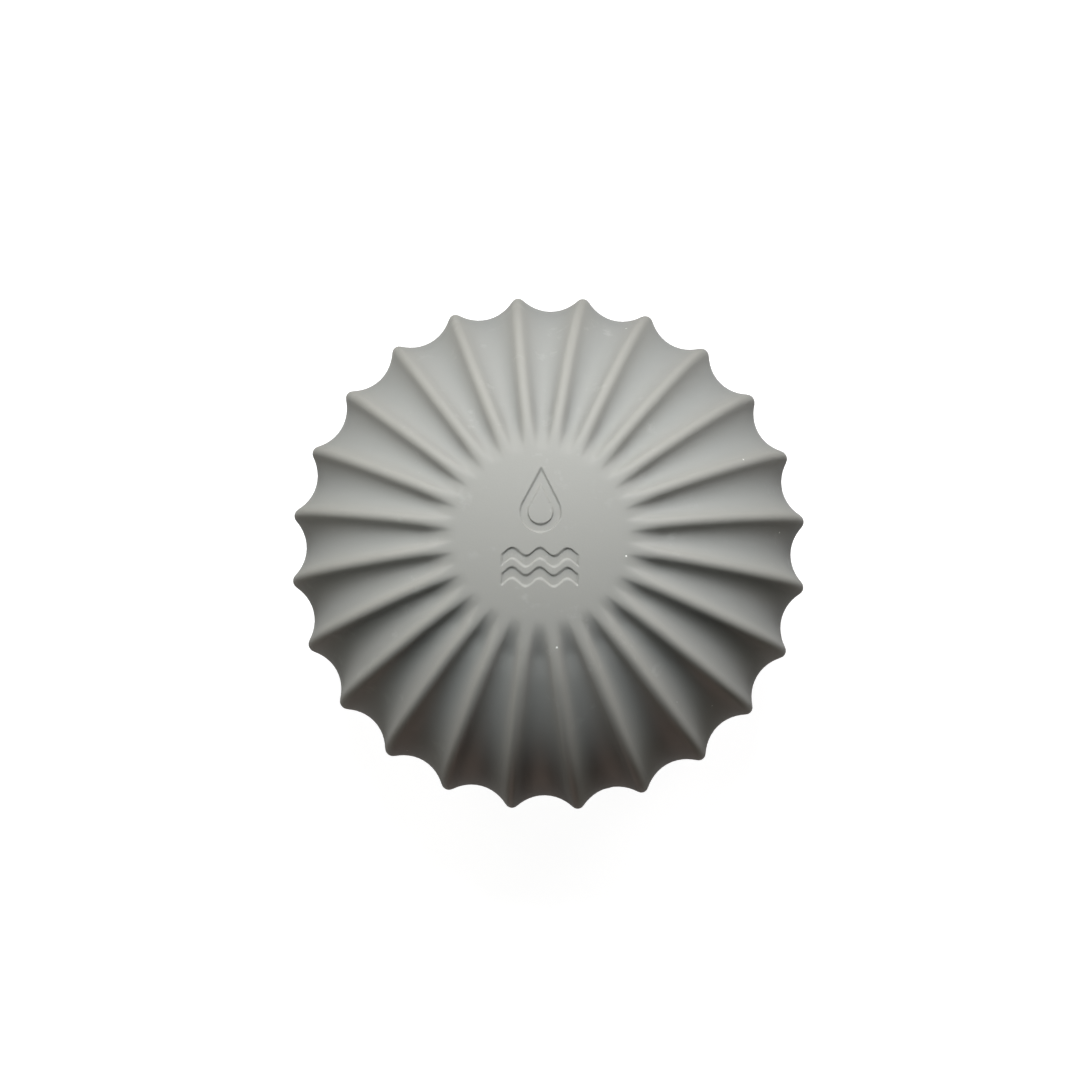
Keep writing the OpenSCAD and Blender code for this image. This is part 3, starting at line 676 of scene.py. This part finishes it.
# %% [markdown]
# ## Power sign
# The button carries the common sign for power, a broken ring with a bar, as a raised bead. For the ring
# a small filled circle is spun through most of a turn, which leaves both ends capped, and the bar is a
# thin rod. The sign is made lying flat and then stood up against the button's face.

# %% Power sign
BUTTON_X = -3.0
SIGN_R, BEAD, SIGN_GAP = 2.1, 0.42, math.radians(70)
BAR_LENGTH, BAR_MIDDLE = 2.1, 1.65  # the bar's length, and its middle above the ring's centre
SIGN_SUNK = 0.06  # the bead's middle lies this far inside the button's face


def turn(bm, verts, angle, axis):
    """Turns some points about an axis through the origin."""
    bmesh.ops.rotate(bm, cent=(0, 0, 0), matrix=Matrix.Rotation(angle, 3, axis), verts=verts)


def power_sign(face_y):
    """The sign, standing in front of the button's face."""
    bm = bmesh.new()
    upright, bead_r = math.radians(90), BEAD / 2 * MM
    bmesh.ops.create_circle(bm, cap_ends=True, radius=bead_r, segments=10)
    bmesh.ops.translate(bm, vec=(SIGN_R * MM, 0, 0), verts=bm.verts)
    turn(bm, bm.verts, upright, "X")
    turn(bm, bm.verts, math.pi / 2 + SIGN_GAP / 2, "Z")
    section = list(bm.faces) + list(bm.edges) + list(bm.verts)
    bmesh.ops.spin(bm, geom=section, cent=(0, 0, 0), axis=(0, 0, 1), dvec=(0, 0, 0),
                   angle=2 * math.pi - SIGN_GAP, steps=40, use_duplicate=False)
    bar = bmesh.ops.create_cone(bm, cap_ends=True, segments=12, radius1=bead_r, radius2=bead_r,
                                depth=BAR_LENGTH * MM)["verts"]
    turn(bm, bar, upright, "X")
    bmesh.ops.translate(bm, vec=(0, BAR_MIDDLE * MM, 0), verts=bar)
    turn(bm, bm.verts, upright, "X")
    bmesh.ops.translate(bm, vec=(BUTTON_X * MM, face_y, PANEL_Z * MM), verts=bm.verts)
    bmesh.ops.recalc_face_normals(bm, faces=bm.faces)
    return piece_from(bm, "power_sign")


sign = power_sign(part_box("power_button")[0].y + SIGN_SUNK * MM)
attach(sign, "button")
print("power_sign:", len(sign.data.polygons), "faces")

# %% [markdown]
# ## Grip on the plug
# A wet finger needs something to catch, so the plug has three low ridges. Each is a bar with all its
# edges bevelled round; the land's own curve decides how far out it sits.

# %% Plug grip
RIDGE_W, RIDGE_DEEP, RIDGE_H, RIDGE_GAP = 7.0, 1.2, 0.6, 1.7
RIDGE_SUNK = 0.45  # from the land's surface in to the middle of a ridge
RIDGE_ROUND = 0.25


def plug_grip():
    """Three ridges, one above the other, as one piece."""
    bm = bmesh.new()
    for step in (-1, 0, 1):
        z = PORT_Z + step * RIDGE_GAP
        middle_y = side_r(BALL_R, z) - LAND_SINK - RIDGE_SUNK
        ridge = bmesh.ops.create_cube(bm, size=1)["verts"]
        bmesh.ops.scale(bm, vec=(RIDGE_W * MM, RIDGE_DEEP * MM, RIDGE_H * MM), verts=ridge)
        bmesh.ops.translate(bm, vec=(0, middle_y * MM, z * MM), verts=ridge)
    bmesh.ops.bevel(bm, geom=list(bm.edges), offset=RIDGE_ROUND * MM, segments=3, profile=0.5,
                    affect="EDGES", material=-1)
    return piece_from(bm, "plug_grip")


grip = plug_grip()
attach(grip, "plug")
print("plug_grip:", len(grip.data.polygons), "faces")

# %% [markdown]
# ## Suction cups
# Each cup is one moulded piece of milky silicone: a thin bell that flares to a fine rim, a neck, and a
# stud that snaps into the base plate. A cup is round, so one half profile is spun, as on a lathe. Smooth
# shading joins its facets, and only corners sharper than the limit stay crisp.

# %% Suction cups
CUP_PROFILE = [
    (0, 2.9), (3, 2.75), (6, 2.25), (9.5, 1.2), (12.6, 0.15),  # hollow underside
    (13.4, 0.0), (13.97, 0.12), (13.97, 0.62), (13.3, 1.05),  # rim
    (10.6, 2.9), (8.0, 4.9), (6.0, 6.4), (5.0, 7.6), (4.6, 8.2),  # bell
    (4.9, 8.9), (4.9, 10.6), (4.6, 11.2), (4.6, 11.96),  # neck
    (2.96, 11.96), (2.96, 13.6), (3.9, 13.6), (3.5, 15.1), (0, 15.15),  # stud
]
CUP_FACETS, CUP_CRISP = 72, math.radians(55)


def suction_cup(index):
    """One cup in the place of its CAD node."""
    low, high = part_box(f"suction_cup_{index}")
    bm = spun(CUP_PROFILE, CUP_FACETS, closed=False)
    bmesh.ops.translate(bm, vec=((low.x + high.x) / 2, (low.y + high.y) / 2, 0), verts=bm.verts)
    cup = piece_from(bm, f"cup_{index}")
    cup.data.set_sharp_from_angle(angle=CUP_CRISP)
    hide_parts(f"suction_cup_{index}")
    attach(cup, "base")
    return cup


cups = [suction_cup(i) for i in (1, 2, 3, 4)]
print("cups:", [cup.name for cup in cups])

# %% [markdown]
# ## Finishes for the pieces
# The hidden pieces matter too: the model can be opened up. Each family of material gets one
# function, and each piece takes its own colour. Moulded plastic has a fine spark-eroded grain, turned
# steel has rings, boards have a glossy solder mask, and cells wear a shrink sleeve.

# %% Plastics and rubbers


def lifted(colour, gain, lift):
    """A lighter or darker version of a colour."""
    return tuple(min(1.0, c * gain + lift) for c in colour)


def moulded(name, colour, roughness=0.5, grain=1.0):
    """Plastic from a spark-eroded mould, a little cloudy and worn."""
    finish = Finish(name, Specular_IOR_Level=0.45)
    clouds = finish.noise(60, detail=3)
    cloudy = finish.span(clouds, 0.25, 0.75)
    finish.set("Base Color", finish.mix(cloudy, colour, lifted(colour, 1.25, 0.01)))
    finish.set("Roughness", finish.span(clouds, 0.3, 0.7) * 0.10 + roughness)
    finish.bump(finish.noise(3200, detail=2) + finish.cells(2400) * 0.5, 0.00002 * grain, 0.5)
    return finish


def soft_rubber(name, colour, roughness=0.5):
    """Rubber or silicone with a faint bloom."""
    finish = Finish(name, Specular_IOR_Level=0.4, Sheen_Weight=0.08)
    bloom = finish.span(finish.noise(120, detail=4), 0.45, 0.75)
    finish.set("Base Color", finish.mix(bloom * 0.5, colour, lifted(colour, 1.3, 0.02)))
    finish.set("Roughness", bloom * 0.12 + roughness)
    finish.bump(finish.noise(1500, detail=2), 0.00002, 0.4)
    return finish


def clear_silicone(name, colour):
    """Unfilled silicone: milky and glossy, with light that bleeds through it."""
    finish = Finish(name, Subsurface_Weight=0.5, Subsurface_Radius=(0.6, 0.6, 0.55),
                    Subsurface_Scale=0.006, IOR=1.41)
    milk = finish.span(finish.noise(140, detail=3), 0.3, 0.7)
    finish.set("Base Color", finish.mix(milk, lifted(colour, 0.97, 0.0), colour))
    finish.set("Roughness", milk * 0.08 + 0.26)
    finish.bump(finish.noise(500, detail=2), 0.00003, 0.3)
    return finish


print("families: moulded, soft_rubber, clear_silicone")

# %% Metals and films


def turned_metal(name, colour, roughness=0.28, lines=1.0):
    """Metal with fine lines from the lathe or the brush."""
    finish = Finish(name, Metallic=1.0)
    streaks = finish.node("ShaderNodeTexWave", {"wave_type": "RINGS", "rings_direction": "Z"},
                          {"Vector": finish.place, "Scale": 900.0, "Distortion": 2.0, "Detail": 2.0})
    stain = finish.span(finish.noise(90, detail=3), 0.35, 0.7)
    finish.set("Base Color", finish.mix(stain, lifted(colour, 0.82, 0.0), colour))
    finish.set("Roughness", streaks * 0.12 * lines + stain * 0.06 + roughness)
    finish.bump(streaks, 0.000006, 0.5)
    return finish


def glossy_sleeve(name, colour, roughness=0.25):
    """Shrink film or solder mask: smooth, slightly wavy, with faint printed tone."""
    finish = Finish(name, Coat_Weight=0.3, Coat_Roughness=0.15)
    tone = finish.span(finish.noise(250, detail=2), 0.4, 0.6)
    finish.set("Base Color", finish.mix(tone, colour, lifted(colour, 1.35, 0.01)))
    finish.set("Roughness", tone * 0.08 + roughness)
    finish.bump(finish.noise(700, detail=3), 0.00003, 0.35)
    return finish


print("families: turned_metal, glossy_sleeve")

# %% Finish for every material slot
finishes = {
    "base_plastic": moulded("charcoal_plastic", (0.060, 0.060, 0.058)),
    "tower_plastic": moulded("grey_plastic", (0.42, 0.42, 0.40)),
    "core_plastic": moulded("natural_nylon", (0.66, 0.65, 0.60), 0.42, 0.6),
    "gear_plastic": moulded("natural_acetal", (0.72, 0.70, 0.62), 0.36, 0.4),
    "lens_plastic": moulded("frosted_lens", (0.80, 0.82, 0.82), 0.30, 0.5),
    "switch_plastic": moulded("black_plastic", (0.02, 0.02, 0.02), 0.38, 0.6),
    "magnet_ferrite": moulded("ferrite", (0.05, 0.05, 0.052), 0.62, 2.0),
    "cup_silicone": clear_silicone("cup_silicone", (0.80, 0.81, 0.79)),
    "button_silicone": soft_rubber("button_silicone", (0.17, 0.165, 0.16), 0.5),
    "seal_rubber": soft_rubber("nitrile", (0.018, 0.018, 0.018), 0.42),
    "board_laminate": glossy_sleeve("solder_mask", (0.020, 0.110, 0.050)),
    "cell_sleeve": glossy_sleeve("shrink_sleeve", (0.040, 0.130, 0.300)),
    "screw_steel": turned_metal("stainless_steel", (0.60, 0.60, 0.60)),
    "shaft_steel": turned_metal("ground_steel", (0.62, 0.62, 0.63), 0.18, 0.6),
    "plate_steel": turned_metal("zinc_plate", (0.58, 0.60, 0.62), 0.34),
    "winding_copper": turned_metal("enamelled_copper", (0.62, 0.24, 0.10), 0.30),
    "sun_brass": turned_metal("brass", (0.72, 0.52, 0.22), 0.25),
}
print("finishes:", len(finishes))

# %% Dressing the pieces
slot_of = {part["node"]: part["material_slot"] for part in frame["record"]["subparts"]}
for node, obj in NODES.items():
    dress(obj, finishes.get(slot_of[node], BOOT))
for obj, node in ((bezel, "control_bezel"), (button, "power_button"), (lights, "status_lights")):
    dress(obj, finishes[slot_of[node]])
for cup in cups:
    dress(cup, finishes["cup_silicone"])
for piece in (port_plug, grip):
    dress(piece, BOOT)
dress(sign, moulded("sign_white", (0.62, 0.62, 0.60), 0.4, 0.5))
plain = [node for node in NODES if slot_of[node] not in finishes]
print("dressed:", len(NODES), "nodes, in boot silicone:", plain)

# %% [markdown]
# ## Studio
# A floor that bends up into a dome stands under and round the machine. It glows by itself, so that no
# light has to be aimed at it, and it neither lights the ball nor shades it. Light comes from beyond the
# far side, most of it from high up. Weaker lights stand left and right, and two faint cold ones graze
# the rim. The near side gets only a little warm light from below, and its shade is what makes the ribs
# read so clearly. A wide weak light under the floor keeps the underside from going black.

# %% Floor
FLOOR_R, WALL_R, WALL_H, CORNER_R = 1600, 2400, 3000, 800
DOME_TURN = 10  # degrees from one ring of the dome to the next


def studio_sweep():
    """Floor, rounded corner and dome in one spun surface."""
    corner = [(FLOOR_R + CORNER_R * math.sin(a), CORNER_R * (1 - math.cos(a)))
              for a in map(math.radians, range(0, 91, DOME_TURN))]
    dome = [(WALL_R * math.cos(a), CORNER_R + (WALL_H - CORNER_R) * math.sin(a))
            for a in map(math.radians, range(DOME_TURN, 91, DOME_TURN))]
    return piece_from(spun([(0, 0)] + corner + dome, 64, closed=False), "studio_sweep")


sweep_obj = studio_sweep()
paper = Finish("pale_paper", Roughness=0.9, Specular_IOR_Level=0.1,
               Emission_Color=(1, 1, 1), Emission_Strength=0.93)
paper.set("Base Color", paper.mix(paper.noise(3), (0.30, 0.30, 0.30), (0.32, 0.32, 0.32)))
dress(sweep_obj, paper)
sweep_obj.visible_diffuse = False
sweep_obj.visible_glossy = False
sweep_obj.visible_shadow = False
print("studio_sweep:", len(sweep_obj.data.polygons), "faces")

# %% Faint light from all round
SKY_COLOUR, SKY_STRENGTH = (0.93, 0.95, 1.0, 1), 0.02
world = bpy.data.worlds.new("studio")
world.use_nodes = True
background = world.node_tree.nodes["Background"]
background.inputs["Color"].default_value = SKY_COLOUR
background.inputs["Strength"].default_value = SKY_STRENGTH
bpy.context.scene.world = world
print("light from all round:", SKY_STRENGTH)

# %% Lights
LIGHT_DISTANCE = 0.9  # metres from the ball's centre


def soft_light(name, elevation, azimuth, power, colour=(1, 1, 1), size=0.3):
    """A square soft light that faces the ball. Azimuth 0 is at the right and 90 behind, in degrees."""
    data = bpy.data.lights.new(name, "AREA")
    data.shape, data.size = "SQUARE", size
    data.energy, data.color = power, colour
    tilt, heading = math.radians(elevation), math.radians(azimuth)
    level = math.cos(tilt)
    way = Vector((level * math.cos(heading), level * math.sin(heading), math.sin(tilt)))
    obj = bpy.data.objects.new(name, data)
    obj.location = ball_centre + way * LIGHT_DISTANCE
    obj.rotation_euler = way.to_track_quat("Z", "Y").to_euler()
    bpy.context.scene.collection.objects.link(obj)


soft_light("far_window_high", 58, 90, 10.0, (0.95, 1.0, 1.0))
soft_light("far_window_low", 32, 90, 2.5, (1.0, 0.97, 0.86))
soft_light("far_right", 32, 45, 2.1, (1.0, 0.93, 0.93))
soft_light("far_left", 32, 135, 1.2, (1.0, 0.88, 0.80))
soft_light("left_high", 32, 180, 1.0, (0.97, 1.0, 0.95))
soft_light("left_low", 8, 180, 1.1, (1.0, 0.95, 0.83))
soft_light("right_low", 8, 0, 1.2, (1.0, 0.98, 0.85))
soft_light("rim_left", 8, 135, 0.4, (0.6, 0.8, 1.0))
soft_light("rim_right", 8, 45, 0.4, (0.6, 0.8, 1.0))
soft_light("warm_front", -28, 270, 0.9, (1.0, 0.78, 0.66))
soft_light("floor_bounce", -90, 0, 2.0, size=1.2)
